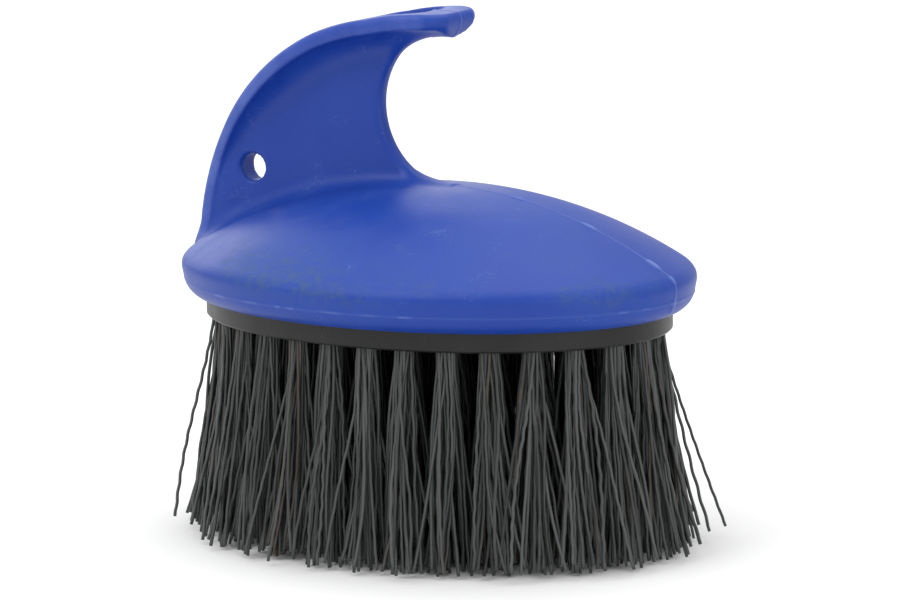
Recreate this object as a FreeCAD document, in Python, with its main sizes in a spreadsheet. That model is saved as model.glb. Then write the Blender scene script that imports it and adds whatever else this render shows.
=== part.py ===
import FreeCAD, Part
import Sketcher
import math
import os

# Hand brush for grooming horses: a moulded handle whose fin curls over into a
# hook for the fingers, and an oval block of stiff bristle tufts under it.
#
# Frame: millimetres, +Z up, +X towards the rounded nose that the hook points
# at, +Y across. The origin is on the surface the bristle tips rest on, under
# the centre of the oval. The brush is mirror-symmetric about the XZ plane.

doc = FreeCAD.newDocument("grooming_brush")

# ---------------------------------------------------------------- sizes (mm)

SIZES = [
    ("base_length", 149.4, "handle's rim, along X"),
    ("base_width", 109.0, "handle's rim, along Y"),
    ("trim_length", 59.0, "bristle standing out of the block"),
    ("band_height", 5.2, "side of the block that shows below the lip"),
    ("lip_width", 6.9, "rim's edge in to the block's side"),
    ("lip_radius", 4.8, "rounding under the rim"),
    ("shoulder_height", 15.6, "block's face up to the crown's edge"),
    ("shoulder_radius", 6.0, "rounding between the rim and the crown"),
    ("dome_height", 36.7, "block's face up to the top of the crown"),
    ("crown_depth", 120.0, "vertical half axis of the crown's ellipsoid"),
    ("hook_height", 83.2, "block's face up to the top of the hook"),
    ("hook_reach", 8.4, "centre of the oval forward to the hook's tip"),
    ("fin_setback", 0.2, "rim's rear edge forward to the fin's foot"),
    ("fin_skin_rear", 3.4, "flange thickness at the fin's foot"),
    ("fin_skin_top", 4.3, "flange thickness at the hook"),
    ("flange_width", 25.0, "flange across Y at the hook"),
    ("flange_overrun", 0.4, "flange's narrowing outline past the rim's rear edge"),
    ("flange_tip_radius", 6.4, "corners of the hook's tip, seen from above"),
    ("flange_edge_radius", 1.5, "rounding along the flange's outer edges"),
    ("web_thickness", 5.2, "fin's web across Y"),
    ("web_edge_radius", 1.9, "rounding along the finger opening"),
    ("finger_radius", 20.9, "finger opening"),
    ("finger_centre_x", 5.1, "finger opening's centre along X"),
    ("finger_centre_rise", 57.1, "block's face up to the opening's centre"),
    ("hang_bore", 7.6, "hanging hole through the web"),
    ("hang_bore_x", -57.1, "hanging hole along X"),
    ("hang_bore_rise", 37.7, "block's face up to the hanging hole"),
    ("hang_bore_bevel", 0.5, "bevel of the hanging hole's rims"),
    ("recess_length", 22.0, "recess in the top of the hook, along X"),
    ("recess_width", 17.4, "recess across Y"),
    ("recess_front", 0.1, "centre of the oval forward to the recess's end"),
    ("recess_depth", 3.2, "recess below the top of the hook"),
    ("recess_corner_radius", 4.2, "corners of the recess"),
    ("wall", 4.0, "wall of the hollow dome over the cavity"),
    ("seat_width", 5.5, "ledge in the handle that the block seats on"),
    ("seat_depth", 6.0, "block set up into the handle"),
    ("fit_clearance", 0.2, "play round the block in its seat"),
    ("block_bevel", 0.5, "bevel round the block's lower edge"),
    ("tuft_pitch", 11.1, "spacing of tufts along a ring and of the rings"),
    ("tuft_edge", 4.2, "block's edge in to the outer ring of tufts"),
    ("tuft_hole", 5.6, "tuft hole in the block"),
    ("tuft_hole_depth", 9.6, "tuft hole in the block"),
    ("tuft_play", 0.1, "tuft hole's diameter less the tuft's root"),
    ("tuft_tip_gap", 1.5, "neighbouring tufts' tips apart"),
    ("tuft_lean", 4.0, "outer tufts' tips outward of their roots"),
    ("anchor_thickness", 0.5, "flat wire that holds a tuft"),
    ("anchor_width", 1.8, "flat wire that holds a tuft"),
    ("screw_shank", 3.5, "block screw"),
    ("screw_length", 16.0, "block screw under its head"),
    ("screw_head", 6.8, "block screw"),
    ("screw_head_height", 2.2, "block screw"),
    ("screw_slot", 1.0, "cross recess in the screw head, across each slot"),
    ("screw_slot_length", 4.0, "cross recess, along each slot"),
    ("screw_sink", 3.4, "block's face up to the underside of the head"),
    ("screw_clearance", 0.4, "holes' diameters in the block over the screw's"),
    ("boss_diameter", 9.5, "screw boss in the handle"),
    ("boss_spare", 2.0, "boss bore past the screw's end"),
]

NEAR = 0.1              # mm, an edge this near a plane lies on it
OUTLINE_STEPS = 1440    # an oval's outline is measured along this many steps
ROW_ROOM = 0.9          # pitches of half width that a ring of tufts needs

sheet = doc.addObject("Spreadsheet::Sheet", "Sizes")
for row, (alias, number, meaning) in enumerate(SIZES, start=1):
    sheet.set("A%d" % row, alias)
    sheet.set("B%d" % row, str(number))
    sheet.set("C%d" % row, meaning)
    sheet.setAlias("B%d" % row, alias)
doc.recompute()


def size(alias):
    """A driving size, read back from the sheet."""
    return float(sheet.get(alias))


def named(expression):
    """An expression with each <alias> turned into the sheet's cell."""
    return expression.replace("<", "Sizes.").replace(">", "")


def value_of(expression):
    """What an expression of the sheet's cells comes to."""
    return float(sheet.evalExpression(named(expression)))


def bind(obj, **expressions):
    """Binds properties to expressions whose words are aliases of the sheet."""
    for prop, expression in expressions.items():
        obj.setExpression(prop, named(expression))
    return obj


def place(obj, x=0.0, y=0.0, z=0.0, axis=(0, 0, 1), degrees=0.0):
    """Puts an object at a point, turned about an axis."""
    turn = FreeCAD.Rotation(FreeCAD.Vector(*axis), degrees)
    obj.Placement = FreeCAD.Placement(FreeCAD.Vector(x, y, z), turn)
    return obj


def at_height(obj, expression):
    """Binds an object's height to an expression."""
    return bind(obj, **{"Placement.Base.z": expression})


def boolean(kind, name, *members):
    """A common of two, a cut of the first by the rest, or a fuse of them all."""
    if kind == "Cut" and len(members) > 2:
        members = (members[0], boolean("MultiFuse", name + "_tools", *members[1:]))
    obj = doc.addObject("Part::" + kind, name)
    if kind == "MultiFuse":
        obj.Shapes = list(members)
    else:
        obj.Base, obj.Tool = members
    doc.recompute()
    return obj


def group(name, members):
    """Several separate solids that share one node."""
    obj = doc.addObject("Part::Compound", name)
    obj.Links = members
    return obj


def oval_prism(name, half_x, half_y, length, upright=True):
    """An oval prism: along Z from its base, or along Y about its middle."""
    oval = doc.addObject("Part::Ellipse", name + "_outline")
    bind(oval, MajorRadius="max(%s; %s)" % (half_x, half_y))
    bind(oval, MinorRadius="min(%s; %s)" % (half_x, half_y))
    is_tall = value_of(half_y) > value_of(half_x)
    spin = FreeCAD.Rotation(FreeCAD.Vector(0, 0, 1), -90 if is_tall else 0)
    lay = FreeCAD.Rotation(FreeCAD.Vector(1, 0, 0), 0 if upright else 90)
    oval.Placement = FreeCAD.Placement(FreeCAD.Vector(), lay.multiply(spin))
    prism = doc.addObject("Part::Extrusion", name)
    prism.Base = oval
    prism.DirMode = "Custom"
    prism.Dir = FreeCAD.Vector(0, 0, 1) if upright else FreeCAD.Vector(0, 1, 0)
    prism.Symmetric = not upright
    prism.Solid = True
    bind(prism, LengthFwd=length)
    return prism


def cylinder(name, radius, height):
    """A cylinder along Z, with its radius and height bound."""
    obj = doc.addObject("Part::Cylinder", name)
    return bind(obj, Radius=radius, Height=height)


def rounded(name, base, radii):
    """A copy of a shape with edges rounded: pairs of edge numbers and a radius."""
    obj = doc.addObject("Part::Fillet", name)
    obj.Base = base
    obj.Edges = [(index, radius, radius) for edges, radius in radii for index in edges]
    doc.recompute()
    return obj


def edges_where(obj, test):
    """Numbers of the edges whose centre of mass passes a test."""
    found = []
    for index, edge in enumerate(obj.Shape.Edges, start=1):
        if test(edge, edge.CenterOfMass):
            found.append(index)
    return found


# ------------------------------------------------------------------- handle

HALF_LENGTH = "<base_length> / 2"
HALF_WIDTH = "<base_width> / 2"
BAND_TOP = "<trim_length> + <band_height>"
SHOULDER = "<trim_length> + <shoulder_height>"
FIN_HALF_X = "<base_length> / 2 - <fin_setback>"
FIN_HALF_Z = "<hook_height> - <shoulder_height>"


def crown(name, shrink):
    """The ellipsoid of the dome's crown, or one that lies a wall under it."""
    drop = "(<dome_height> - <shoulder_height>) / <crown_depth>"
    spread = "sqrt(1 - (1 - %s)^2)" % drop
    ball = doc.addObject("Part::Ellipsoid", name)
    bind(ball, Radius1="<crown_depth> - %s" % shrink)
    bind(ball, Radius2="%s / %s - %s" % (HALF_LENGTH, spread, shrink))
    bind(ball, Radius3="%s / %s - %s" % (HALF_WIDTH, spread, shrink))
    return at_height(ball, "<trim_length> + <dome_height> - <crown_depth>")


def build_dome():
    """The oval dome: a rim rounded above and below, under a shallow crown."""
    rim = oval_prism("rim", HALF_LENGTH, HALF_WIDTH, "<dome_height>")
    at_height(rim, BAND_TOP)
    blank = boolean("Common", "dome_blank", rim, crown("crown", "0"))
    shoulder_z = value_of(SHOULDER)
    lip_z = value_of(BAND_TOP)
    lower = edges_where(blank, lambda edge, c: abs(c.z - lip_z) < NEAR and edge.Closed)
    lipped = rounded("lipped_dome", blank, [(lower, size("lip_radius"))])
    upper = edges_where(lipped, lambda edge, c: abs(c.z - shoulder_z) < 1 and edge.Closed)
    return rounded("dome", lipped, [(upper, size("shoulder_radius"))])


def on_oval(edge, half_x, half_z, centre_z):
    """Whether an edge's middle lies on an oval cylinder along Y."""
    middle = edge.valueAt((edge.FirstParameter + edge.LastParameter) / 2)
    spread = math.hypot(middle.x / half_x, (middle.z - centre_z) / half_z)
    return abs(spread - 1) * half_z < NEAR and middle.z > centre_z + NEAR


def build_flange():
    """The flange: a curved strip round the fin that widens up to the hook."""
    outer = oval_prism("fin_outer", FIN_HALF_X, FIN_HALF_Z, "2 * <flange_width>", upright=False)
    inner = oval_prism("fin_inner", FIN_HALF_X + " - <fin_skin_rear>",
                       FIN_HALF_Z + " - <fin_skin_top>", "3 * <flange_width>", upright=False)
    leaf = oval_prism("leaf", HALF_LENGTH + " + <flange_overrun>", "<flange_width> / 2",
                      "2 * (%s)" % FIN_HALF_Z)
    for shape in (outer, inner, leaf):
        at_height(shape, SHOULDER)
    limit = doc.addObject("Part::Box", "hook_limit")
    bind(limit, Length="<base_length>", Width="4 * <flange_width>", Height="2 * (%s)" % FIN_HALF_Z)
    bind(limit, **{"Placement.Base.x": "<hook_reach> - <base_length>"})
    bind(limit, **{"Placement.Base.y": "-2 * <flange_width>"})
    at_height(limit, SHOULDER)
    strip = boolean("Cut", "fin_strip", outer, inner)
    strip = boolean("Common", "fin_strip_to_tip", strip, limit)
    blunt = boolean("Common", "blunt_flange", strip, leaf)
    tip_x = size("hook_reach")
    corners = edges_where(blunt, lambda edge, c: abs(c.x - tip_x) < NEAR
                          and edge.BoundBox.YLength < NEAR)
    tipped = rounded("tipped_flange", blunt, [(corners, size("flange_tip_radius"))])

    half_x = value_of(FIN_HALF_X)
    half_z = value_of(FIN_HALF_Z)
    centre_z = value_of(SHOULDER)
    outside = edges_where(tipped, lambda edge, c: on_oval(edge, half_x, half_z, centre_z))
    inside = edges_where(tipped, lambda edge, c: on_oval(
        edge, half_x - size("fin_skin_rear"), half_z - size("fin_skin_top"), centre_z))
    return rounded("flange", tipped, [(outside, size("flange_edge_radius")),
                                      (inside, size("flange_edge_radius") / 2)])


def build_web():
    """The fin's web, cut back round the finger opening."""
    plate = oval_prism("web_plate", FIN_HALF_X + " - <fin_skin_rear> / 2",
                       FIN_HALF_Z + " - <fin_skin_top> / 2", "<web_thickness>", upright=False)
    at_height(plate, SHOULDER)
    span = doc.addObject("Part::Box", "web_span")
    bind(span, Length="<base_length> / 2 + <finger_centre_x>", Width="<web_thickness>")
    bind(span, Height=FIN_HALF_Z)
    bind(span, **{"Placement.Base.x": "-<base_length> / 2"})
    bind(span, **{"Placement.Base.y": "-<web_thickness> / 2"})
    at_height(span, SHOULDER)
    opening = cylinder("finger_opening", "<finger_radius>", "2 * <flange_width>")
    place(opening, y=size("flange_width"), axis=(1, 0, 0), degrees=90)
    bind(opening, **{"Placement.Base.x": "<finger_centre_x>"})
    at_height(opening, "<trim_length> + <finger_centre_rise>")
    blade = boolean("Common", "web_blade", plate, span)
    blade = boolean("Cut", "web_with_opening", blade, opening)
    centre_x = size("finger_centre_x")
    centre_z = value_of("<trim_length> + <finger_centre_rise>")

    def on_opening(edge, middle):
        """Whether an edge runs round the finger opening on one face of the web."""
        start = edge.valueAt(edge.FirstParameter)
        reach = math.hypot(start.x - centre_x, start.z - centre_z)
        along_face = edge.BoundBox.YLength < NEAR and edge.Length > size("finger_radius")
        return along_face and abs(reach - size("finger_radius")) < NEAR

    return rounded("web", blade, [(edges_where(blade, on_opening), size("web_edge_radius"))])


def recess_tool():
    """A prism with rounded corners that sinks the recess into the hook."""
    box = doc.addObject("Part::Box", "recess_box")
    bind(box, Length="<recess_length>", Width="<recess_width>", Height="2 * <recess_depth>")
    bind(box, **{"Placement.Base.x": "<recess_front> - <recess_length>"})
    bind(box, **{"Placement.Base.y": "-<recess_width> / 2"})
    at_height(box, "<trim_length> + <hook_height> - <recess_depth>")
    doc.recompute()
    upright = edges_where(box, lambda edge, c: edge.BoundBox.ZLength > 1)
    return rounded("recess", box, [(upright, size("recess_corner_radius"))])


def bore_tool():
    """The hanging hole's bore, with a bevelled rim on each side of the web."""
    bore = cylinder("hang_bore_shaft", "<hang_bore> / 2", "2 * <web_thickness>")
    place(bore, y=size("web_thickness"), axis=(1, 0, 0), degrees=90)
    tools = [bore]
    for side, name in ((1, "hang_rim_left"), (-1, "hang_rim_right")):
        rim = doc.addObject("Part::Cone", name)
        bind(rim, Radius1="<hang_bore> / 2", Radius2="<hang_bore> / 2 + 2 * <hang_bore_bevel>")
        bind(rim, Height="2 * <hang_bore_bevel>")
        place(rim, axis=(1, 0, 0), degrees=-90 * side)
        bind(rim, **{"Placement.Base.y": "%d * (<web_thickness> / 2 - <hang_bore_bevel>)" % side})
        tools.append(rim)
    for tool in tools:
        bind(tool, **{"Placement.Base.x": "<hang_bore_x>"})
        at_height(tool, "<trim_length> + <hang_bore_rise>")
    return boolean("MultiFuse", "hang_hole", *tools)


def build_handle(screw_points):
    """The handle: dome, fin and hook in one moulding, hollow under the crown."""
    body = boolean("MultiFuse", "handle_blank", build_dome(), build_flange(), build_web())

    seat_x = "%s - <lip_width> + <fit_clearance>" % HALF_LENGTH
    seat_y = "%s - <lip_width> + <fit_clearance>" % HALF_WIDTH
    seat = oval_prism("block_seat", seat_x, seat_y, "<seat_depth>")
    at_height(seat, BAND_TOP)
    hollow = oval_prism("hollow_outline", seat_x + " - <seat_width>", seat_y + " - <seat_width>",
                        "<dome_height>")
    at_height(hollow, BAND_TOP)
    cavity = boolean("Common", "cavity", hollow, crown("cavity_crown", "<wall>"))

    bosses = []
    bores = []
    for index, (x, y, _) in enumerate(screw_points, start=1):
        boss = cylinder("boss_%d" % index, "<boss_diameter> / 2", "<dome_height>")
        at_height(place(boss, x, y), BAND_TOP + " + <seat_depth>")
        bosses.append(boss)
        bore = cylinder("boss_bore_%d" % index, "<screw_shank> / 2",
                        "<screw_length> + <boss_spare>")
        at_height(place(bore, x, y), "<trim_length> + <screw_sink>")
        bores.append(bore)
    cavity = boolean("Cut", "cavity_round_bosses", cavity, *bosses)

    handle = boolean("Cut", "handle_cut", body, seat, cavity, recess_tool(), bore_tool(), *bores)
    return handle


# ----------------------------------------------------------- rows of tufts

def ring_points(half_x, half_y, count):
    """Points spaced evenly along an oval from its nose: x, y and outward angle."""
    outline = []
    for step in range(OUTLINE_STEPS + 1):
        angle = 2 * math.pi * step / OUTLINE_STEPS
        outline.append((half_x * math.cos(angle), half_y * math.sin(angle)))
    run = [0.0]
    for here, after in zip(outline, outline[1:]):
        run.append(run[-1] + math.dist(here, after))
    points = []
    step = 0
    for number in range(count):
        target = run[-1] * number / count
        while run[step + 1] < target:
            step += 1
        share = (target - run[step]) / (run[step + 1] - run[step])
        x = outline[step][0] + share * (outline[step + 1][0] - outline[step][0])
        y = outline[step][1] + share * (outline[step + 1][1] - outline[step][1])
        normal = math.atan2(y / half_y ** 2, x / half_x ** 2)
        points.append((x, y, normal))
    return points


def oval_length(half_x, half_y):
    """Length round an oval, by Ramanujan's formula."""
    h = ((half_x - half_y) / (half_x + half_y)) ** 2
    return math.pi * (half_x + half_y) * (1 + 3 * h / (10 + math.sqrt(4 - 3 * h)))


def tuft_rings():
    """Every ring of tuft places, from the outer ring in to the middle row."""
    pitch = size("tuft_pitch")
    half_x = value_of(HALF_LENGTH + " - <lip_width> - <tuft_edge>")
    half_y = value_of(HALF_WIDTH + " - <lip_width> - <tuft_edge>")
    rings = []
    while half_y > ROW_ROOM * pitch:
        count = int(oval_length(half_x, half_y) / pitch)
        rings.append(ring_points(half_x, half_y, count))
        half_x -= pitch
        half_y -= pitch
    last_x = half_x + pitch
    last_y = half_y + pitch
    row = []
    number = 0
    while True:
        reach = number * pitch
        gap = last_y * math.sqrt(max(0.0, 1 - reach ** 2 / (last_x ** 2 - last_y ** 2)))
        if gap < pitch - size("tuft_tip_gap"):
            break
        row.append((reach, 0.0, 0.0))
        if number:
            row.append((-reach, 0.0, math.pi))
        number += 1
    if row:
        rings.append(row)
    return rings


def split_screw_places(rings):
    """Takes the four places nearest the third ring's diagonals for screws."""
    ring = rings[min(2, len(rings) - 1)]
    reach_x = max(point[0] for point in ring)
    reach_y = max(point[1] for point in ring)
    screws = []
    for sign_x in (1, -1):
        for sign_y in (1, -1):
            corner = (sign_x * reach_x * math.sqrt(0.5), sign_y * reach_y * math.sqrt(0.5))
            nearest = min(ring, key=lambda point: math.dist(point[:2], corner))
            ring.remove(nearest)
            screws.append(nearest)
    return screws


def build_tuft(name, point, lean):
    """One tuft: a root in its hole, flaring and leaning outward to its tip."""
    x, y, normal = point
    tip_x = x + lean * math.cos(normal)
    tip_y = y + lean * math.sin(normal)
    root = "(<tuft_hole> - <tuft_play>) / 2"
    top = "<trim_length> + <tuft_hole_depth> - <anchor_thickness>"
    sections = []
    for part, place_x, place_y, radius, height in (
            ("top", x, y, root, top),
            ("root", x, y, root, "<trim_length>"),
            ("tip", tip_x, tip_y, "(<tuft_pitch> - <tuft_tip_gap>) / 2", "0")):
        circle = doc.addObject("Part::Circle", "%s_%s" % (name, part))
        bind(circle, Radius=radius)
        at_height(place(circle, place_x, place_y), height)
        sections.append(circle)
    tuft = doc.addObject("Part::Loft", name)
    tuft.Sections = sections
    tuft.Solid = True
    tuft.Ruled = True
    return tuft


def build_anchor(name, point):
    """The flat wire across the end of a tuft's hole that holds the tuft."""
    x, y, normal = point
    reach = "sqrt(<tuft_hole>^2 - <anchor_width>^2) - 2 * <tuft_play>"
    wire = doc.addObject("Part::Box", name)
    bind(wire, Length=reach, Width="<anchor_width>", Height="<anchor_thickness>")
    turn = FreeCAD.Rotation(FreeCAD.Vector(0, 0, 1), math.degrees(normal) + 90)
    centre = turn.multVec(FreeCAD.Vector(value_of(reach) / 2, size("anchor_width") / 2, 0))
    wire.Placement = FreeCAD.Placement(FreeCAD.Vector(x, y, 0) - centre, turn)
    return at_height(wire, "<trim_length> + <tuft_hole_depth> - <anchor_thickness>")


# -------------------------------------------------------------------- block

def origin_plane(body, role):
    """One of a body's own origin planes."""
    for feature in body.Origin.OriginFeatures:
        if feature.Role == role:
            return feature
    raise ValueError(role)


def block_sketch(body, name, height):
    """A sketch on the block's XY plane, at a height bound to the sheet."""
    sketch = body.newObject("Sketcher::SketchObject", name)
    sketch.AttachmentSupport = [(origin_plane(body, "XY_Plane"), "")]
    sketch.MapMode = "FlatFace"
    bind(sketch, **{"AttachmentOffset.Base.z": height})
    return sketch


def bound_constraint(sketch, constraint, name, expression):
    """Adds a named constraint whose value follows the sheet."""
    index = sketch.addConstraint(constraint)
    sketch.renameConstraint(index, name)
    bind(sketch, **{"Constraints." + name: expression})


def block_pad(body):
    """Pads the block's oval, a lip's width inside the handle's rim."""
    sketch = block_sketch(body, "block_outline", "<trim_length>")
    half_x = HALF_LENGTH + " - <lip_width>"
    half_y = HALF_WIDTH + " - <lip_width>"
    longer = value_of(half_x)
    shorter = value_of(half_y)
    sketch.addGeometry(Part.Ellipse(FreeCAD.Vector(), longer, shorter), False)
    sketch.exposeInternalGeometry(0)
    sketch.addConstraint(Sketcher.Constraint("Coincident", 0, 3, -1, 1))
    sketch.addConstraint(Sketcher.Constraint("PointOnObject", 1, 1, -1))
    for line, half, name_of, expression in ((1, longer, "Long", half_x), (2, shorter, "Short", half_y)):
        distance = Sketcher.Constraint("Distance", line, 2 * half)
        bound_constraint(sketch, distance, name_of, "2 * (%s)" % expression)
    pad = body.newObject("PartDesign::Pad", "block_pad")
    pad.Profile = sketch
    bind(pad, Length="<band_height> + <seat_depth>")
    doc.recompute()
    return pad


def build_block(tuft_points, screw_points):
    """The bristle block: an oval pad, drilled for tufts and screws."""
    blank = doc.addObject("PartDesign::Body", "block_blank")
    padded = block_pad(blank)
    face_z = size("trim_length")
    lower = []
    for index, edge in enumerate(blank.Shape.Edges, start=1):
        if abs(edge.CenterOfMass.z - face_z) < NEAR and edge.Closed:
            lower.append("Edge%d" % index)
    bevel = blank.newObject("PartDesign::Chamfer", "block_lower_bevel")
    bevel.Base = (padded, lower)
    bind(bevel, Size="<block_bevel>")
    blank.Tip = bevel
    doc.recompute()

    drills = []
    for number, (x, y, _) in enumerate(tuft_points, start=1):
        drill = cylinder("tuft_drill_%d" % number, "<tuft_hole> / 2", "<tuft_hole_depth>")
        drills.append(at_height(place(drill, x, y), "<trim_length>"))
    for number, (x, y, _) in enumerate(screw_points, start=1):
        drill = cylinder("screw_drill_%d" % number,
                         "(<screw_shank> + <screw_clearance>) / 2",
                         "<band_height> + <seat_depth>")
        drills.append(at_height(place(drill, x, y), "<trim_length>"))
        sink = cylinder("screw_sink_%d" % number,
                        "(<screw_head> + <screw_clearance>) / 2", "<screw_sink>")
        drills.append(at_height(place(sink, x, y), "<trim_length>"))
    return boolean("Cut", "block", blank, group("drills", drills))


# ------------------------------------------------------------------- screws

def build_screw(number, point):
    """A pan-head screw, head down in the block and shank up into its boss."""
    x, y, _ = point
    seat = "<trim_length> + <screw_sink>"
    head = cylinder("screw_head_%d" % number, "<screw_head> / 2", "<screw_head_height>")
    at_height(place(head, x, y), seat + " - <screw_head_height>")
    shank = cylinder("screw_shank_%d" % number, "<screw_shank> / 2",
                     "<screw_length> - <screw_shank> / 2")
    at_height(place(shank, x, y), seat)
    point_cone = doc.addObject("Part::Cone", "screw_point_%d" % number)
    bind(point_cone, Radius1="<screw_shank> / 2", Radius2="<screw_shank> / 8")
    bind(point_cone, Height="<screw_shank> / 2")
    at_height(place(point_cone, x, y), seat + " + <screw_length> - <screw_shank> / 2")
    slots = []
    for turn in (0, 90):
        slot = doc.addObject("Part::Box", "screw_slot_%d_%d" % (number, turn))
        bind(slot, Length="<screw_slot_length>", Width="<screw_slot>")
        bind(slot, Height="<screw_head_height> / 2")
        along = size("screw_slot_length") / 2
        across = size("screw_slot") / 2
        spin = FreeCAD.Rotation(FreeCAD.Vector(0, 0, 1), turn)
        corner = spin.multVec(FreeCAD.Vector(-along, -across, 0))
        slot.Placement = FreeCAD.Placement(FreeCAD.Vector(x, y, 0) + corner, spin)
        slots.append(at_height(slot, seat + " - <screw_head_height>"))
    solid = boolean("MultiFuse", "screw_blank_%d" % number, head, shank, point_cone)
    return boolean("Cut", "screw_%d" % number, solid, *slots)


# ----------------------------------------------------------------- assembly

rings = tuft_rings()
screw_places = split_screw_places(rings)
all_tuft_places = [point for ring in rings for point in ring]

subparts = {}
subparts["handle"] = build_handle(screw_places)
subparts["bristle_block"] = build_block(all_tuft_places, screw_places)
subparts["block_screws"] = group(
    "screws", [build_screw(number, point) for number, point in enumerate(screw_places, start=1)])

RING_NAMES = ["outer", "second", "third", "fourth", "fifth", "sixth"]
for ring_number, ring in enumerate(rings):
    ring_name = RING_NAMES[ring_number]
    lean = size("tuft_lean") * (1 - ring_number / len(rings))
    tufts = []
    for number, point in enumerate(ring, start=1):
        tufts.append(build_tuft("tuft_%s_%02d" % (ring_name, number), point, lean))
    if ring_number == 0:
        for number, tuft in enumerate(tufts, start=1):
            subparts["tuft_outer_%02d" % number] = tuft
    else:
        subparts["tufts_%s_ring" % ring_name] = group("tufts_%s" % ring_name, tufts)
    anchors = []
    for number, point in enumerate(ring, start=1):
        anchors.append(build_anchor("anchor_%s_%02d" % (ring_name, number), point))
    subparts["anchors_%s_ring" % ring_name] = group("anchors_%s" % ring_name, anchors)

for node, obj in subparts.items():
    obj.Label = node
doc.recompute()

for obj in doc.Objects:
    if "Invalid" in obj.State or "Error" in obj.State:
        raise RuntimeError("%s failed: %s" % (obj.Label, obj.State))
for node, obj in subparts.items():
    if obj.Shape.isNull() or not obj.Shape.isValid():
        raise RuntimeError("%s has no valid shape" % node)

os.makedirs("parts", exist_ok=True)
for node, obj in subparts.items():
    obj.Shape.exportStep("parts/%s.step" % node)
    print("%-22s %2d solid(s) %10.1f mm3" % (node, len(obj.Shape.Solids), obj.Shape.Volume))
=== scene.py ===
"""Looks of an oval hand brush for grooming horses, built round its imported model.

Everything is in metres, in the model's own frame: +Z up, +X towards the rounded nose that
the hook points at, +Y across, and the origin on the surface that the bristle tips rest on.
"""

import logging
import math
from dataclasses import dataclass, field
from enum import Enum

import bmesh
import bpy
import numpy as np
from mathutils import Matrix, Vector


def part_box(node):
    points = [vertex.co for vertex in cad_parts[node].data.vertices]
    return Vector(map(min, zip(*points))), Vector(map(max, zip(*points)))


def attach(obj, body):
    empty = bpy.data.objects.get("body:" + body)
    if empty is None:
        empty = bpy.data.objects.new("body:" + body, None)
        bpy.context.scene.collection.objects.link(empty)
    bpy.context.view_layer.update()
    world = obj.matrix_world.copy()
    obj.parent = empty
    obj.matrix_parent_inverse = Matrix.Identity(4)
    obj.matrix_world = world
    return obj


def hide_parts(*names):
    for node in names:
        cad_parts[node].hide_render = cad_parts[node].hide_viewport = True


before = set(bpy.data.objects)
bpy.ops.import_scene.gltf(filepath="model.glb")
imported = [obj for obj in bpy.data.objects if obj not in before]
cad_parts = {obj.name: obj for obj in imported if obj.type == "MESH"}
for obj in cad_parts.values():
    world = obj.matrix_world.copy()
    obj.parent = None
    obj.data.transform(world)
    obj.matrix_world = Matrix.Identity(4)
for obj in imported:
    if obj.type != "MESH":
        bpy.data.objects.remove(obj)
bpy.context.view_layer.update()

BODY = "root"
MM = 0.001

log = logging.getLogger("grooming_brush")


class Slot(Enum):
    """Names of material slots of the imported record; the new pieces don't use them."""

    HANDLE = "handle_blue"
    BRISTLE = "bristle_dark"


# ------------------------------------------------------------------ node groups


class Sheet:
    """A node tree with short calls for adding nodes and joining sockets."""

    def __init__(self, tree: bpy.types.NodeTree) -> None:
        """Wraps a node tree, and places its nodes one after another."""
        self.tree = tree
        self.column = 0

    def add(self, kind: str, inputs: dict | None = None, **settings) -> bpy.types.Node:
        """Adds a node.

        Args:
            kind: The node's type name.
            inputs: Socket name or number to a value, or to a socket to join.
            **settings: Properties of the node.

        Returns:
            The new node.
        """
        node = self.tree.nodes.new(kind)
        node.location = (180 * self.column, 0)
        self.column += 1
        for name, value in settings.items():
            setattr(node, name, value)
        for name, value in (inputs or {}).items():
            self.feed(node.inputs[name], value)
        return node

    def feed(self, socket: bpy.types.NodeSocket, value) -> None:
        """Sets a socket to a value, or joins it to another socket."""
        if isinstance(value, bpy.types.NodeSocket):
            self.tree.links.new(value, socket)
        else:
            socket.default_value = value

    def math(self, operation: str, first, second=0.0, clamp: bool = False) -> bpy.types.NodeSocket:
        """Adds a math node.

        Args:
            operation: The math node's operation.
            first: First value or socket.
            second: Second value or socket.
            clamp: Whether the result is kept within 0 to 1.

        Returns:
            The result's socket.
        """
        node = self.add("ShaderNodeMath", {0: first, 1: second}, operation=operation, use_clamp=clamp)
        return node.outputs[0]

    def ramp(self, value, low, high, start: float = 0.0, end: float = 1.0) -> bpy.types.NodeSocket:
        """Maps a value smoothly from one range to another.

        Args:
            value: The socket to map.
            low: Value or socket that gives start.
            high: Value or socket that gives end.
            start: Result at and below low.
            end: Result at and above high.

        Returns:
            The mapped value's socket.
        """
        node = self.add("ShaderNodeMapRange", {"Value": value, "From Min": low, "From Max": high,
                                               "To Min": start, "To Max": end},
                        interpolation_type="SMOOTHSTEP")
        return node.outputs["Result"]

    def times(self, first, second) -> bpy.types.NodeSocket:
        """Multiplies two values."""
        return self.math("MULTIPLY", first, second)

    def noise(self, vector, scale, detail: float, **inputs: float) -> bpy.types.NodeSocket:
        """Adds noise, from 0 to 1."""
        sockets = {"Vector": vector, "Scale": scale, "Detail": detail, **inputs}
        return self.add("ShaderNodeTexNoise", sockets).outputs["Fac"]

    def places(self) -> bpy.types.NodeSocket:
        """Adds the object's own coordinates."""
        return self.add("ShaderNodeTexCoord").outputs["Object"]

    def mark(self, name: str) -> bpy.types.NodeSocket:
        """Adds the numbers that a mesh keeps at its points under a name."""
        return self.add("ShaderNodeAttribute", attribute_name=name).outputs["Fac"]

    def mix(self, factor, first, second) -> bpy.types.NodeSocket:
        """Mixes two colours.

        Args:
            factor: Share of the second colour.
            first: First colour or socket.
            second: Second colour or socket.

        Returns:
            The mixed colour's socket.
        """
        node = self.add("ShaderNodeMix", data_type="RGBA")
        self.feed(node.inputs[0], factor)
        self.feed(node.inputs[6], first)
        self.feed(node.inputs[7], second)
        return node.outputs[2]


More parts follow.
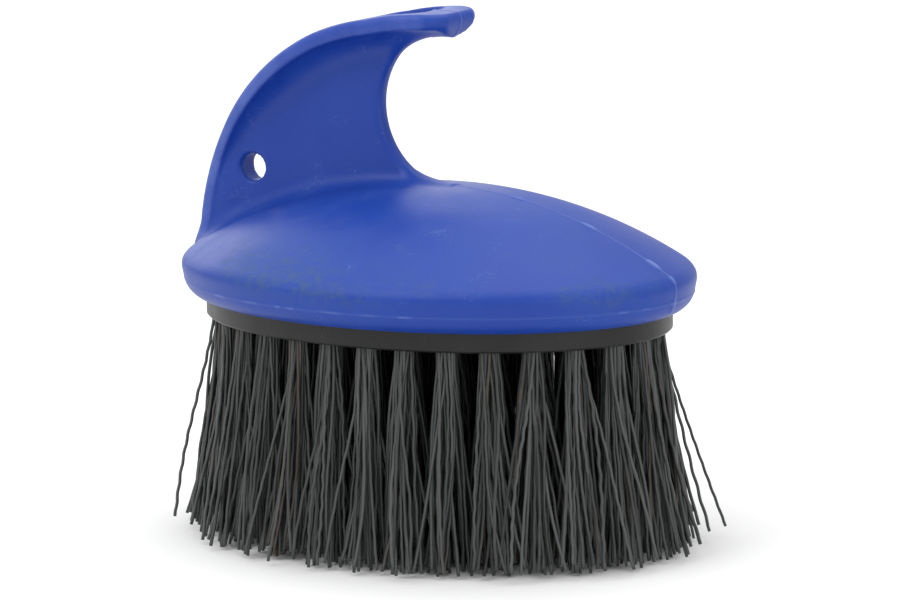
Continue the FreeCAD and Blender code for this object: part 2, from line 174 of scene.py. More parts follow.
def new_group(name: str, inputs: dict[str, float], output: str) -> tuple[bpy.types.NodeTree, Sheet, dict]:
    """Starts a shader node group with a vector input and number inputs.

    Args:
        name: The group's name.
        inputs: Number inputs and their usual values.
        output: Name of the number output.

    Returns:
        The group, a sheet over it, and its input sockets by name.
    """
    tree = bpy.data.node_groups.new(name, "ShaderNodeTree")
    tree.interface.new_socket(name="Vector", in_out="INPUT", socket_type="NodeSocketVector")
    for socket_name, usual in inputs.items():
        socket = tree.interface.new_socket(name=socket_name, in_out="INPUT", socket_type="NodeSocketFloat")
        socket.default_value = usual
    tree.interface.new_socket(name=output, in_out="OUTPUT", socket_type="NodeSocketFloat")
    sheet = Sheet(tree)
    entry = sheet.add("NodeGroupInput")
    sockets = {socket.name: socket for socket in entry.outputs if socket.name}
    return tree, sheet, sockets


@dataclass
class Effects:
    """Surface effects shared by the finishes, each made once as a node group."""

    made: dict[str, bpy.types.NodeTree] = field(default_factory=dict)

    def get(self, name: str) -> bpy.types.NodeTree:
        """The group of that name, made on first use."""
        if name not in self.made:
            self.made[name] = getattr(self, "_" + name)()
        return self.made[name]

    def _cloud(self) -> bpy.types.NodeTree:
        """Soft patches: a mask of noise between two thresholds."""
        tree, sheet, sockets = new_group("cloud", {"Scale": 20.0, "Low": 0.4, "High": 0.7}, "Mask")
        noise = sheet.noise(sockets["Vector"], sockets["Scale"], 5.0, Roughness=0.6)
        sheet.add("NodeGroupOutput", {"Mask": sheet.ramp(noise, sockets["Low"], sockets["High"])})
        return tree

    def _scratches(self) -> bpy.types.NodeTree:
        """Fine hair scratches: thin lines of stretched noise, broken up into short runs."""
        tree, sheet, sockets = new_group("scratches", {"Scale": 60.0, "Turn": 0.4, "Share": 0.5}, "Mask")
        turned = sheet.add("ShaderNodeVectorRotate", {"Vector": sockets["Vector"], "Angle": sockets["Turn"]},
                           rotation_type="AXIS_ANGLE")
        turned.inputs["Axis"].default_value = (0.3, 1.0, 0.2)
        drawn = sheet.add("ShaderNodeVectorMath", {0: turned.outputs[0], 1: (1.0, 1.0, 7.0)},
                          operation="MULTIPLY")
        lines = sheet.noise(drawn.outputs[0], sockets["Scale"], 2.0)
        near = sheet.math("ABSOLUTE", sheet.math("SUBTRACT", lines, 0.5))
        thin = sheet.ramp(near, 0.0, 0.012, 1.0, 0.0)
        runs = sheet.ramp(sheet.noise(sockets["Vector"], 110.0, 3.0), sockets["Share"], 0.75)
        sheet.add("NodeGroupOutput", {"Mask": sheet.times(thin, runs)})
        return tree

    def _moulded(self) -> bpy.types.NodeTree:
        """The skin of a moulded plastic: a fine grain over slow sink marks."""
        tree, sheet, sockets = new_group("moulded", {"Grain": 1800.0, "Waves": 55.0}, "Height")
        grain = sheet.noise(sockets["Vector"], sockets["Grain"], 3.0)
        slow = sheet.times(sheet.noise(sockets["Vector"], sockets["Waves"], 1.0), 3.0)
        sheet.add("NodeGroupOutput", {"Height": sheet.math("ADD", grain, slow)})
        return tree

    def _settled(self) -> bpy.types.NodeTree:
        """Dust that settles on faces that look up, broken up by noise."""
        tree, sheet, sockets = new_group("settled", {"Scale": 90.0, "Amount": 0.3}, "Mask")
        shape = sheet.add("ShaderNodeNewGeometry")
        parts = sheet.add("ShaderNodeSeparateXYZ", {0: shape.outputs["Normal"]})
        up = sheet.ramp(parts.outputs["Z"], 0.1, 0.9)
        noise = sheet.noise(sockets["Vector"], sockets["Scale"], 6.0, Roughness=0.7)
        speckle = sheet.ramp(noise, 0.45, 0.75)
        sheet.add("NodeGroupOutput", {"Mask": sheet.times(sheet.times(up, speckle), sockets["Amount"])})
        return tree


EFFECTS = Effects()


@dataclass(frozen=True)
class Finish:
    """What every finish shares: a name and the constant values of its shader."""

    name: str
    specular: float = 0.5

    def start(self) -> tuple[bpy.types.Material, Sheet, bpy.types.Node]:
        """Starts the material.

        Returns:
            The material, a sheet over its nodes, and its shader.
        """
        material = bpy.data.materials.new(self.name)
        material.use_nodes = True
        shader = material.node_tree.nodes["Principled BSDF"]
        shader.inputs["Specular IOR Level"].default_value = self.specular
        return material, Sheet(material.node_tree), shader

    def effect(self, sheet: Sheet, name: str, vector: bpy.types.NodeSocket,
               **values: float) -> bpy.types.NodeSocket:
        """Places a shared effect.

        Args:
            sheet: The material's sheet.
            name: The effect's name.
            vector: The coordinates it reads.
            **values: Its number inputs.

        Returns:
            The effect's first output.
        """
        node = sheet.add("ShaderNodeGroup", node_tree=EFFECTS.get(name))
        sheet.feed(node.inputs["Vector"], vector)
        for key, value in values.items():
            node.inputs[key].default_value = value
        return node.outputs[0]

    def paint(self, sheet: Sheet, shader: bpy.types.Node, colour, rough) -> None:
        """Feeds a colour and a roughness to the shader."""
        sheet.feed(shader.inputs["Base Color"], colour)
        sheet.feed(shader.inputs["Roughness"], rough)

    def bump(self, sheet: Sheet, shader: bpy.types.Node, height: bpy.types.NodeSocket,
             distance: float, strength: float = 1.0) -> None:
        """Feeds a height to the shader's normal."""
        node = sheet.add("ShaderNodeBump", {"Height": height})
        node.inputs["Distance"].default_value = distance
        node.inputs["Strength"].default_value = strength
        sheet.feed(shader.inputs["Normal"], node.outputs["Normal"])


@dataclass(frozen=True)
class SoftBluePlastic(Finish):
    """Satin blue soft plastic, with dusty scuffs low on the dome and paler flash, and flange side faces
    painted paler: painted light with some rub wear.
    """

    name: str = "soft_blue_plastic"
    specular: float = 0.31
    blue: tuple[float, ...] = (0.0062, 0.040, 0.295, 1.0)
    worn_blue: tuple[float, ...] = (0.011, 0.052, 0.325, 1.0)
    # Colour of the painted light on the flange's side faces, which also stands for some rub wear.
    rubbed_and_lit: tuple[float, ...] = (0.080, 0.130, 0.43, 1.0)
    dust: tuple[float, ...] = (0.050, 0.100, 0.175, 1.0)
    flash: tuple[float, ...] = (0.20, 0.28, 0.62, 1.0)
    scuff_low: float = 67 * MM
    scuff_high: float = 90 * MM

    def build(self) -> bpy.types.Material:
        """The material."""
        material, sheet, shader = self.start()
        place = sheet.places()
        parts = sheet.add("ShaderNodeSeparateXYZ", {0: place})
        patches = self.effect(sheet, "cloud", place, Scale=26.0, Low=0.35, High=0.72)
        colour = sheet.mix(patches, self.blue, self.worn_blue)
        rising = sheet.ramp(parts.outputs["Z"], self.scuff_low, self.scuff_low + 9 * MM)
        falling = sheet.ramp(parts.outputs["Z"], self.scuff_high - 14 * MM, self.scuff_high, 1.0, 0.0)
        smears = self.effect(sheet, "cloud", place, Scale=24.0, Low=0.44, High=0.66)
        specks = self.effect(sheet, "cloud", place, Scale=520.0, Low=0.36, High=0.66)
        low_band = sheet.times(rising, falling)
        scuffed = sheet.times(sheet.times(low_band, smears), specks)
        settled = self.effect(sheet, "settled", place, Scale=110.0, Amount=0.09)
        dusty = sheet.math("ADD", sheet.times(scuffed, 0.65), settled, clamp=True)
        colour = sheet.mix(dusty, colour, self.dust)
        # Flange side faces painted paler: painted light where the sides catch light that the shaded web below
        # them misses, with some rub wear.
        wear = sheet.mark("wear")
        mottle = self.effect(sheet, "cloud", place, Scale=160.0, Low=0.30, High=0.70)
        rubbed_and_lit = sheet.times(wear, sheet.ramp(mottle, 0.0, 1.0, 0.55, 1.0))
        colour = sheet.mix(rubbed_and_lit, colour, self.rubbed_and_lit)
        scratches = self.effect(sheet, "scratches", place, Scale=120.0, Turn=0.5, Share=0.56)
        crossing = self.effect(sheet, "scratches", place, Scale=90.0, Turn=2.1, Share=0.58)
        marks = sheet.math("ADD", scratches, crossing, clamp=True)
        colour = sheet.mix(sheet.times(marks, 0.32), colour, self.flash)
        seam = sheet.mark("flash")
        colour = sheet.mix(seam, colour, self.flash)
        rough = sheet.ramp(patches, 0.0, 1.0, 0.40, 0.50)
        rough = sheet.math("ADD", rough, sheet.times(dusty, 0.3))
        rough = sheet.math("ADD", rough, sheet.times(marks, 0.12), clamp=True)
        self.paint(sheet, shader, colour, rough)
        skin = self.effect(sheet, "moulded", place, Grain=1500.0, Waves=60.0)
        height = sheet.math("SUBTRACT", skin, sheet.times(marks, 0.6))
        self.bump(sheet, shader, height, distance=0.05 * MM)
        return material


@dataclass(frozen=True)
class BlackPlastic(Finish):
    """Hard black plastic of the bristle block, faintly mottled and scratched."""

    name: str = "block_black_plastic"
    specular: float = 0.34
    black: tuple[float, ...] = (0.0062, 0.0062, 0.0060, 1.0)
    grey: tuple[float, ...] = (0.014, 0.014, 0.0135, 1.0)
    dust: tuple[float, ...] = (0.075, 0.077, 0.070, 1.0)

    def build(self) -> bpy.types.Material:
        """The material."""
        material, sheet, shader = self.start()
        place = sheet.places()
        patches = self.effect(sheet, "cloud", place, Scale=70.0, Low=0.4, High=0.75)
        colour = sheet.mix(patches, self.black, self.grey)
        specks = self.effect(sheet, "cloud", place, Scale=600.0, Low=0.62, High=0.75)
        marks = self.effect(sheet, "scratches", place, Scale=90.0, Turn=1.4, Share=0.5)
        paling = sheet.math("ADD", sheet.times(specks, 0.25), sheet.times(marks, 0.3),
                          clamp=True)
        colour = sheet.mix(paling, colour, self.dust)
        self.paint(sheet, shader, colour, sheet.ramp(patches, 0.0, 1.0, 0.38, 0.52))
        skin = self.effect(sheet, "moulded", place, Grain=1300.0, Waves=80.0)
        self.bump(sheet, shader, skin, distance=0.04 * MM)
        return material


@dataclass(frozen=True)
class BristleFilament(Finish):
    """Dark synthetic filament: each strand a little different, dustier at its tip."""

    name: str = "dark_filament"
    specular: float = 0.45
    dark: tuple[float, ...] = (0.030, 0.033, 0.032, 1.0)
    pale: tuple[float, ...] = (0.062, 0.070, 0.067, 1.0)
    brown: tuple[float, ...] = (0.055, 0.040, 0.032, 1.0)
    chalk: tuple[float, ...] = (0.11, 0.115, 0.108, 1.0)

    def build(self) -> bpy.types.Material:
        """The material."""
        material, sheet, shader = self.start()
        place = sheet.places()
        strand = sheet.mark("strand")
        along = sheet.mark("along")
        colour = sheet.mix(sheet.ramp(strand, 0.0, 0.9), self.dark, self.pale)
        colour = sheet.mix(sheet.ramp(strand, 0.93, 0.96), colour, self.brown)
        streaks = self.effect(sheet, "cloud", place, Scale=240.0, Low=0.45, High=0.75)
        ends = sheet.ramp(along, 0.55, 1.0, 0.10, 0.45)
        dusty = sheet.times(streaks, ends)
        colour = sheet.mix(dusty, colour, self.chalk)
        self.paint(sheet, shader, colour, sheet.ramp(dusty, 0.0, 0.4, 0.46, 0.68))
        return material


@dataclass(frozen=True)
class DrawnSteel(Finish):
    """Bright steel of the hidden screws and tuft wires, with dull drawn streaks."""

    name: str = "drawn_steel"
    bright: tuple[float, ...] = (0.58, 0.57, 0.55, 1.0)
    dull: tuple[float, ...] = (0.30, 0.29, 0.27, 1.0)

    def build(self) -> bpy.types.Material:
        """The material."""
        material, sheet, shader = self.start()
        place = sheet.places()
        shader.inputs["Metallic"].default_value = 1.0
        streaks = self.effect(sheet, "cloud", place, Scale=900.0, Low=0.35, High=0.7)
        colour = sheet.mix(streaks, self.bright, self.dull)
        self.paint(sheet, shader, colour, sheet.ramp(streaks, 0.0, 1.0, 0.28, 0.45))
        skin = self.effect(sheet, "moulded", place, Grain=2500.0, Waves=300.0)
        self.bump(sheet, shader, skin, distance=0.02 * MM)
        return material


# ------------------------------------------------------------- rounded shapes


def oval_gap(u: np.ndarray, v: np.ndarray, half_u: float, half_v: float) -> np.ndarray:
    """Distance out of an oval, to first order.

    Args:
        u: Places along the first axis.
        v: Places along the second axis.
        half_u: Half the oval along the first axis.
        half_v: Half the oval along the second axis.

    Returns:
        Distances, negative inside.
    """
    spread = np.maximum(np.hypot(u / half_u, v / half_v), 1e-6)
    slope = np.maximum(np.hypot(u / half_u ** 2, v / half_v ** 2) / spread, 1e-6)
    return (spread - 1) / slope


def rounded_edge(first: np.ndarray, second: np.ndarray, radius: float, lean=0.0) -> np.ndarray:
    """What two solids share, with its outer edge rounded.

    Args:
        first: Distances out of the first solid.
        second: Distances out of the second solid.
        radius: Radius of the edge.
        lean: Cosine of the angle between the two faces' normals.

    Returns:
        Distances out of the shared solid.
    """
    past_first = first + radius
    past_second = second + radius
    across = past_first ** 2 + past_second ** 2 - 2 * lean * past_first * past_second
    reach = np.sqrt(np.maximum(across, 0) / (1 - lean ** 2)) - radius
    in_corner = (past_first > lean * past_second) & (past_second > lean * past_first)
    return np.where(in_corner, reach, np.maximum(first, second))


def hollow_blend(first: np.ndarray, second: np.ndarray, radius) -> np.ndarray:
    """Two solids joined, with a hollow fillet where they meet.

    Args:
        first: Distances out of the first solid.
        second: Distances out of the second solid.
        radius: Radius of the fillet, one for all or one for each place.

    Returns:
        Distances out of the joined solid.
    """
    near_first = np.maximum(radius - first, 0)
    near_second = np.maximum(radius - second, 0)
    return np.maximum(np.minimum(first, second), radius) - np.hypot(near_first, near_second)


@dataclass
class HandleForm:
    """The handle's outer surface as distances, with the soft blends of its moulding."""

    lip_radius: float = 4.8 * MM
    draft: float = 0.2
    draft_top: float = 15.0 * MM
    shoulder_height: float = 15.6 * MM
    shoulder_radius: float = 6.0 * MM
    dome_height: float = 36.7 * MM
    crown_depth: float = 120.0 * MM
    hook_reach: float = 8.4 * MM
    fin_setback: float = 0.2 * MM
    fin_skin_rear: float = 3.4 * MM
    fin_skin_top: float = 4.3 * MM
    flange_overrun: float = 0.4 * MM
    flange_half_width: float = 12.5 * MM
    flange_tip_radius: float = 6.4 * MM
    flange_edge_radius: float = 1.7 * MM
    flange_inner_radius: float = 0.9 * MM
    tip_inner_radius: float = 2.4 * MM
    flange_hollow: float = 7.0 * MM
    flange_least_hollow: float = 1.5 * MM
    web_x: tuple[float, ...] = (-74 * MM, -66 * MM, -60 * MM, -52 * MM, -40 * MM)
    web_half: tuple[float, ...] = (5.0 * MM, 4.6 * MM, 3.4 * MM, 2.8 * MM, 2.6 * MM)
    web_edge_radius: float = 2.2 * MM
    web_foot: float = 14.0 * MM
    hook_sag_x: tuple[float, ...] = (-32 * MM, -14 * MM, 2 * MM, 9 * MM)
    hook_sag: tuple[float, ...] = (0.1 * MM, 0.65 * MM, -0.2 * MM, -0.35 * MM)
    finger_radius: float = 20.9 * MM
    finger_x: float = 5.1 * MM
    finger_rise: float = 57.1 * MM
    hang_radius: float = 3.8 * MM
    hang_x: float = -57.1 * MM
    hang_rise: float = 37.7 * MM
    hang_rim: float = 0.7 * MM
    recess_half: tuple[float, float] = (11.0 * MM, 8.7 * MM)
    recess_x: float = -10.9 * MM
    recess_depth: float = 3.2 * MM
    recess_corner: float = 4.2 * MM
    recess_floor: float = 1.0 * MM
    recess_rim: float = 0.6 * MM
    seat_inset: float = 6.7 * MM
    seat_edge: float = 0.35 * MM
    cavity_wall: float = 3.0 * MM
    root_blend_x: tuple[float, ...] = (-73 * MM, -64 * MM, -35 * MM, -6 * MM, 5 * MM)
    root_blend: tuple[float, ...] = (6 * MM, 5.5 * MM, 5.5 * MM, 4 * MM, 2 * MM)

    def __post_init__(self) -> None:
        """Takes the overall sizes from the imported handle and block."""
        low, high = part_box("handle")
        self.face_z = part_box("bristle_block")[0].z
        self.half_x = (high.x - low.x) / 2
        self.half_y = (high.y - low.y) / 2
        self.rim_rise = low.z - self.face_z
        self.hook_rise = high.z - self.face_z

    def crown(self, x: np.ndarray, y: np.ndarray, rise: np.ndarray) -> tuple[np.ndarray, np.ndarray]:
        """The dome's shallow top, as part of an ellipsoid.

        Args:
            x, y, rise: Places along the brush, across it, and over the block's face.

        Returns:
            Distances out of it, and the cosine between its normal and the rim's.
        """
        drop = (self.dome_height - self.shoulder_height) / self.crown_depth
        spread = math.sqrt(1 - (1 - drop) ** 2)
        half = (self.half_x / spread, self.half_y / spread, self.crown_depth)
        over = rise - self.dome_height + self.crown_depth
        reach = np.sqrt((x / half[0]) ** 2 + (y / half[1]) ** 2 + (over / half[2]) ** 2)
        slope = np.sqrt((x / half[0] ** 2) ** 2 + (y / half[1] ** 2) ** 2 + (over / half[2] ** 2) ** 2)
        slope = np.maximum(slope, 1e-6)
        rim = np.maximum(np.hypot(x / self.half_x ** 2, y / self.half_y ** 2), 1e-6)
        along = x ** 2 / (self.half_x * half[0]) ** 2 + y ** 2 / (self.half_y * half[1]) ** 2
        return (reach - 1) * reach / slope, along / (rim * slope)

    def dome(self, x: np.ndarray, y: np.ndarray, rise: np.ndarray) -> np.ndarray:
        """Distances out of the dome, with its drafted wall, rounded lip and shoulder."""
        wall = oval_gap(x, y, self.half_x, self.half_y)
        wall += self.draft * np.maximum(self.draft_top - rise, 0)
        crown, lean = self.crown(x, y, rise)
        capped = rounded_edge(wall, crown, self.shoulder_radius, lean)
        return rounded_edge(capped, self.rim_rise - rise, self.lip_radius)

    def fin(self, x: np.ndarray, y: np.ndarray, rise: np.ndarray) -> np.ndarray:
        """Distances out of the fin: its web, its flange and the hook.

        Args:
            x, y, rise: Places along the brush, across it, and over the block's face.

        Returns:
            The distances.
        """
        outer, inner = self.fin_ovals(x, rise)
        leaf = self.half_x + self.flange_overrun
        side = oval_gap(x, y, leaf, self.flange_half_width)
        plan = rounded_edge(side, x - self.hook_reach, self.flange_tip_radius)
        at_tip = np.interp(x, (0, self.hook_reach), (self.flange_inner_radius, self.tip_inner_radius))
        skin = rounded_edge(plan, -inner, at_tip)
        opening = self.finger_radius - np.hypot(x - self.finger_x, rise - self.finger_rise)
        half_web = np.interp(x, self.web_x, self.web_half)
        web = rounded_edge(np.abs(y) - half_web, opening, self.web_edge_radius)
        web = np.maximum(web, x - self.finger_x)
        overhang = self.flange_half_width * np.sqrt(np.maximum(1 - (x / leaf) ** 2, 0)) - half_web
        hollow = np.clip(overhang, self.flange_least_hollow, self.flange_hollow)
        joined = hollow_blend(web, skin, hollow)
        edged = rounded_edge(joined, outer, self.flange_edge_radius)
        return np.maximum(edged, self.web_foot - rise)

    def fin_ovals(self, x: np.ndarray, rise: np.ndarray) -> tuple[np.ndarray, np.ndarray]:
        """The two ovals that the flange lies between, seen from the side.

        Args:
            x: Places along the brush.
            rise: Heights over the block's face.

        Returns:
            Distances out of the outer oval, and out of the inner one.
        """
        fin_x = self.half_x - self.fin_setback
        fin_z = self.hook_rise - self.shoulder_height
        over = rise - self.shoulder_height + np.interp(x, self.hook_sag_x, self.hook_sag)
        outer = oval_gap(x, over, fin_x, fin_z)
        inner = oval_gap(x, over, fin_x - self.fin_skin_rear, fin_z - self.fin_skin_top)
        return outer, inner

    def recess(self, x: np.ndarray, y: np.ndarray, rise: np.ndarray) -> np.ndarray:
        """Distances out of the shallow recess in the top of the hook."""
        plan = rounded_edge(np.abs(x - self.recess_x) - self.recess_half[0],
                            np.abs(y) - self.recess_half[1], self.recess_corner)
        return rounded_edge(plan, self.hook_rise - self.recess_depth - rise, self.recess_floor)

    def gap(self, points: np.ndarray) -> np.ndarray:
        """Distances out of the whole handle.

        Args:
            points: Places in the brush's frame, one row each.

        Returns:
            The distances, negative inside.
        """
        x, y, rise = self.split(points)
        root = np.interp(x, self.root_blend_x, self.root_blend)
        solid = hollow_blend(self.fin(x, y, rise), self.dome(x, y, rise), root)
        bore = np.hypot(x - self.hang_x, rise - self.hang_rise) - self.hang_radius
        solid = rounded_edge(solid, -bore, self.hang_rim)
        return rounded_edge(solid, -self.recess(x, y, rise), self.recess_rim)

    def split(self, points: np.ndarray) -> tuple[np.ndarray, np.ndarray, np.ndarray]:
        """Places along the brush, across it, and over the block's face."""
        return points[:, 0], points[:, 1], points[:, 2] - self.face_z

    def slope(self, points: np.ndarray, step: float = 0.04 * MM) -> np.ndarray:
        """Directions in which the distance grows, one row for each point."""
        shifts = np.eye(3) * step
        grown = [self.gap(points + shift) - self.gap(points - shift) for shift in shifts]
        return np.stack(grown, 1) / (2 * step)

    def is_outside(self, points: np.ndarray) -> np.ndarray:
        """Whether points lie on the outer surface, and not in the seat or the cavity.

        Args:
            points: Places in the brush's frame, one row each.

        Returns:
            True or false for each point.
        """
        x, y, rise = self.split(points)
        seat = oval_gap(x, y, self.half_x - self.seat_inset, self.half_y - self.seat_inset)
        depth = self.crown(x, y, rise)[0]
        return (seat > self.seat_edge) | (depth > -self.cavity_wall)

    def settle(self, points: np.ndarray, rounds: int, most: float = 0.9 * MM) -> np.ndarray:
        """Moves points onto the surface.

        Args:
            points: Places near the surface, one row each.
            rounds: How many times each point is moved.
            most: The furthest that one round moves a point.

        Returns:
            The moved points.
        """
        for _ in range(rounds):
            away = self.gap(points)
            slope = self.slope(points)
            scale = np.maximum((slope ** 2).sum(1), 0.05)
            step = slope * (away / scale)[:, None]
            length = np.maximum(np.linalg.norm(step, axis=1), 1e-12)
            points = points - step * np.minimum(1.0, most / length)[:, None]
        return points


# --------------------------------------------------------------------- handle


def copy_of_node(name: str, weld: float = 0.001 * MM) -> bmesh.types.BMesh:
    """A CAD node's mesh, with the points that its edges share welded.

    Args:
        name: The node's name.
        weld: The distance under which points are welded.

    Returns:
        A new mesh, which the caller frees.
    """
    made = bmesh.new()
    made.from_mesh(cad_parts[name].data)
    bmesh.ops.remove_doubles(made, verts=made.verts, dist=weld)
    return made


def link(name: str, data) -> bpy.types.Object:
    """A new object of the scene that holds a mesh, a light or a camera."""
    made = bpy.data.objects.new(name, data)
    bpy.context.scene.collection.objects.link(made)
    return made


def new_piece(name: str, mesh: bpy.types.Mesh, stands_for: str) -> bpy.types.Object:
    """Links a mesh as a piece of the brush that stands for a CAD node.

    Args:
        name: The piece's name.
        mesh: Its mesh.
        stands_for: The CAD node.

    Returns:
        The new object.
    """
    piece = link(name, mesh)
    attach(piece, BODY)
    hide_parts(stands_for)
    log.info("%s: %d faces", name, len(mesh.polygons))
    return piece


@dataclass
class Handle:
    """The one-piece moulded handle: hollow dome, fin, flange and hook.

    Each of the parting line's nubs is its place along the brush, its length, its width and its
    height, in millimetres. The lip's flash runs are angles round the oval, in radians.
    """

    node: str = "handle"
    voxel: float = 0.72 * MM
    relax_rounds: int = 14
    relax_share: float = 0.55
    form: HandleForm = field(default_factory=HandleForm)
    finish: SoftBluePlastic = SoftBluePlastic()
    hidden_share: float = 0.2
    ridge_height: float = 0.16 * MM
    ridge_width: float = 0.30 * MM
    ridge_reach: float = 1.3 * MM
    lip_line_rise: float = 10.1 * MM
    flash_runs: int = 34
    flash_run_length: tuple[float, float] = (0.008, 0.05)
    nubs: tuple[tuple[float, ...], ...] = ((26.0, 4.0, 0.5, 0.30), (48.0, 4.5, 0.6, 0.34),
                                           (67.5, 4.0, 0.7, 0.42), (73.2, 1.5, 0.7, 0.3))
    # Shares of painted light, with some rub wear, on the flange's side faces along the brush.
    wear_x: tuple[float, ...] = (-56 * MM, -34 * MM, -14 * MM, 0.0)
    wear_share: tuple[float, ...] = (0.8, 0.25, 0.25, 0.5)
    lip_line_height: float = 0.10 * MM
    nub_seed: int = 7
    lowered_x: tuple[float, ...] = (-34 * MM, -26 * MM, -1 * MM, 4 * MM)
    lowered_drop: tuple[float, ...] = (-12 * MM, -6 * MM, -0.9 * MM, -0.4 * MM)
    lowered_most: float = 1.7 * MM
    dome_line: tuple[float, float, float] = (6 * MM, 2 * MM, 40 * MM)
    tip_line_rise: float = 60 * MM

    def build(self) -> bpy.types.Object:
        """The handle as a piece, dressed.

        Returns:
            The new object.
        """
        mesh = self.remeshed()
        self.settle(mesh)
        mesh = self.lightened(mesh)
        self.refine(mesh)
        self.raise_flash(mesh)
        mesh.shade_smooth()
        piece = new_piece("handle_moulding", mesh, self.node)
        piece.data.materials.append(self.finish.build())
        return piece

    def remeshed(self) -> bpy.types.Mesh:
        """The CAD handle as one even skin of small quads."""
        source = copy_of_node(self.node)
        mesh = bpy.data.meshes.new("handle_moulding")
        source.to_mesh(mesh)
        source.free()
        return self.through_modifier(mesh, "REMESH", mode="VOXEL", voxel_size=self.voxel)

    def through_modifier(self, mesh: bpy.types.Mesh, kind: str, group: np.ndarray | None = None,
                         **settings) -> bpy.types.Mesh:
        """A mesh as a modifier leaves it.

        Args:
            mesh: The mesh to change, which is removed.
            kind: The modifier's type.
            group: Numbers of the points that the modifier acts on, or None for all.
            **settings: The modifier's properties.

        Returns:
            The new mesh.
        """
        holder = link("holder", mesh)
        modifier = holder.modifiers.new("change", kind)
        for name, value in settings.items():
            setattr(modifier, name, value)
        if group is not None:
            holder.vertex_groups.new(name="acted_on").add(group.tolist(), 1.0, "REPLACE")
            modifier.vertex_group = "acted_on"
        graph = bpy.context.evaluated_depsgraph_get()
        changed = bpy.data.meshes.new_from_object(holder.evaluated_get(graph), depsgraph=graph)
        bpy.data.objects.remove(holder)
        bpy.data.meshes.remove(mesh)
        return changed

    def settle(self, mesh: bpy.types.Mesh) -> None:
        """Moves the outer skin onto the rounded form, and evens out its points."""
        points = points_of(mesh)
        outside = self.form.is_outside(points)
        points[outside] = self.form.settle(self.lowered(points[outside]), 6)
        edges = np.empty(len(mesh.edges) * 2, np.int32)
        mesh.edges.foreach_get("vertices", edges)
        ends = edges.reshape(-1, 2)
        both = np.concatenate([ends[:, 0], ends[:, 1]])
        other = np.concatenate([ends[:, 1], ends[:, 0]])
        count = np.maximum(np.bincount(both, minlength=len(points)), 1)
        for _ in range(self.relax_rounds):
            mean = np.stack([np.bincount(both, points[other, axis], len(points)) / count
                             for axis in range(3)], 1)
            moved = points[outside] * (1 - self.relax_share) + mean[outside] * self.relax_share
            points[outside] = self.form.settle(moved, 1)
        points[outside] = self.form.settle(points[outside], 2)
        set_points(mesh, points)

    def lowered(self, points: np.ndarray) -> np.ndarray:
        """Lowers the hook's underside below the recess, so that it settles on the blend there.

        Args:
            points: Places on the CAD's skin, one row each.

        Returns:
            The moved points.
        """
        form = self.form
        x, _, rise = form.split(points)
        past_floor = rise - form.hook_rise + form.recess_depth
        share = np.interp(past_floor, self.lowered_drop, (0, 1, 1, 0))
        share = share * np.interp(x, self.lowered_x, (0, 1, 1, 0))
        moved = points.copy()
        moved[:, 2] -= share * self.lowered_most
        return moved

    def lightened(self, mesh: bpy.types.Mesh) -> bpy.types.Mesh:
        """The mesh with fewer faces in the seat and cavity, which the block hides."""
        hidden = np.flatnonzero(~self.form.is_outside(points_of(mesh)))
        share = len(hidden) / len(mesh.vertices)
        ratio = 1 - share * (1 - self.hidden_share)
        return self.through_modifier(mesh, "DECIMATE", group=hidden, ratio=ratio)

    def near_ridge(self, x: np.ndarray, y: np.ndarray, rise: np.ndarray) -> np.ndarray:
        """Distances from the mould's parting line, far from it where it doesn't show."""
        start, over_rim, top = self.dome_line
        on_dome = (x > start) & (rise > self.form.rim_rise + over_rim) & (rise < top)
        on_tip = (x > self.form.recess_x + self.form.recess_half[0]) & (rise > self.tip_line_rise)
        return np.where(on_dome | on_tip, np.abs(y), 1.0)

    def near_lip_line(self, x: np.ndarray, y: np.ndarray, rise: np.ndarray) -> np.ndarray:
        """Distances from the flash line round the lip."""
        wall = oval_gap(x, y, self.form.half_x, self.form.half_y)
        return np.where(wall > -4 * MM, np.abs(rise - self.lip_line_rise), 1.0)

    def refine(self, mesh: bpy.types.Mesh) -> None:
        """Divides the faces along the parting line and the flash line."""
        made = bmesh.new()
        made.from_mesh(mesh)
        middles = np.array([face.calc_center_median() for face in made.faces])
        x, y, rise = self.form.split(middles)
        near = self.near_ridge(x, y, rise) < self.ridge_reach
        near |= self.near_lip_line(x, y, rise) < 0.75 * MM
        made.faces.ensure_lookup_table()
        edges = {edge for number in np.flatnonzero(near) for edge in made.faces[number].edges}
        bmesh.ops.subdivide_edges(made, edges=list(edges), cuts=2, use_grid_fill=True)
        bmesh.ops.triangulate(made, faces=[face for face in made.faces if len(face.verts) > 4])
        made.to_mesh(mesh)
        made.free()
        points = points_of(mesh)
        fine = self.form.is_outside(points)
        points[fine] = self.form.settle(points[fine], 2)
        set_points(mesh, points)

